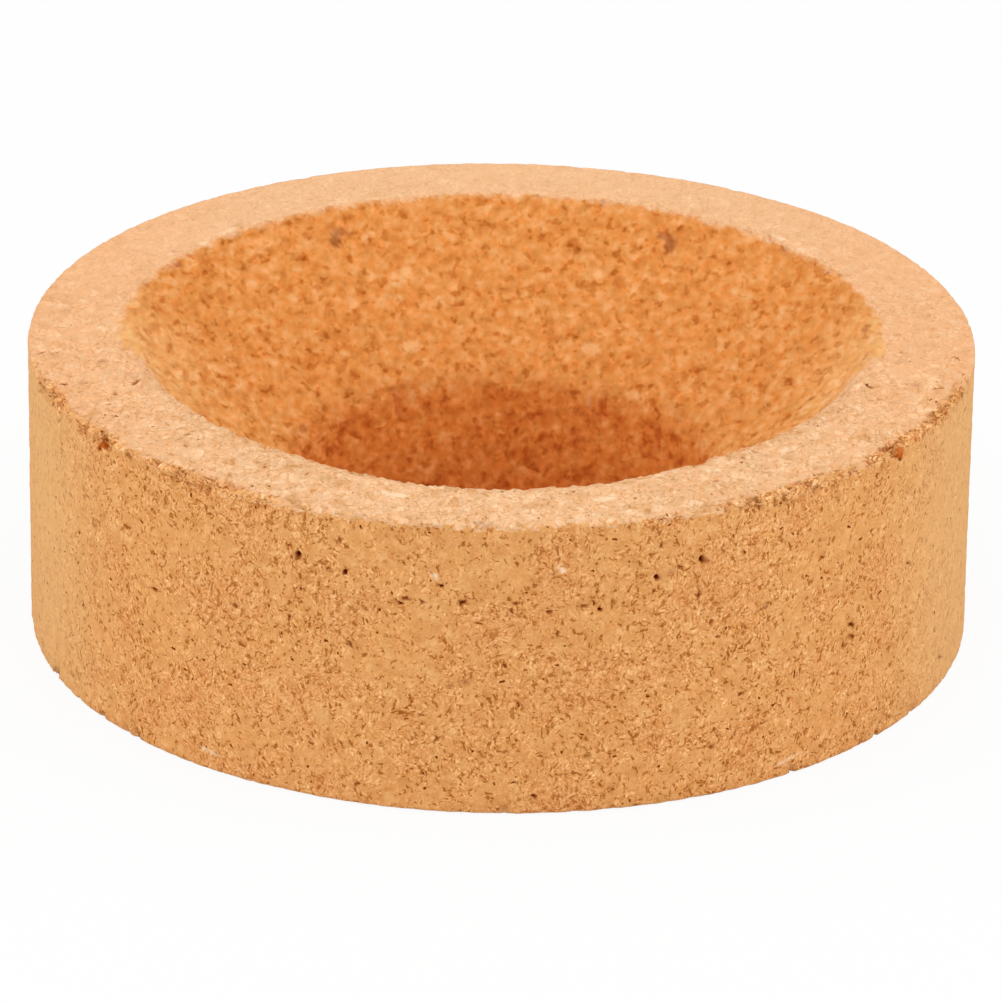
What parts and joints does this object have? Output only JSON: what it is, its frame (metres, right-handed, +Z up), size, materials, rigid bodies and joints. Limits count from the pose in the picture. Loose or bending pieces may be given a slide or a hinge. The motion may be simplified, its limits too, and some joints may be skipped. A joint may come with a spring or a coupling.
{
  "type": "cork ring",
  "caption": "Cork ring with a conical seat and a through bore, a rest that holds a round-bottomed flask upright on a bench.",
  "frame": {"origin": "centre of the base, where the ring stands on the bench", "axes": "+Z up along the ring's axis, from the base to the flat rim; the ring is the same all round, so X and Y are free"},
  "size_m": [0.09, 0.09, 0.029],
  "materials": {
    "cork": "bare agglomerated cork, turned and sanded, with fine granules, dark flecks and slightly crumbled edges"
  },
  "bodies": {
    "root": {"cork_ring": "cork"}
  },
  "joints": []
}
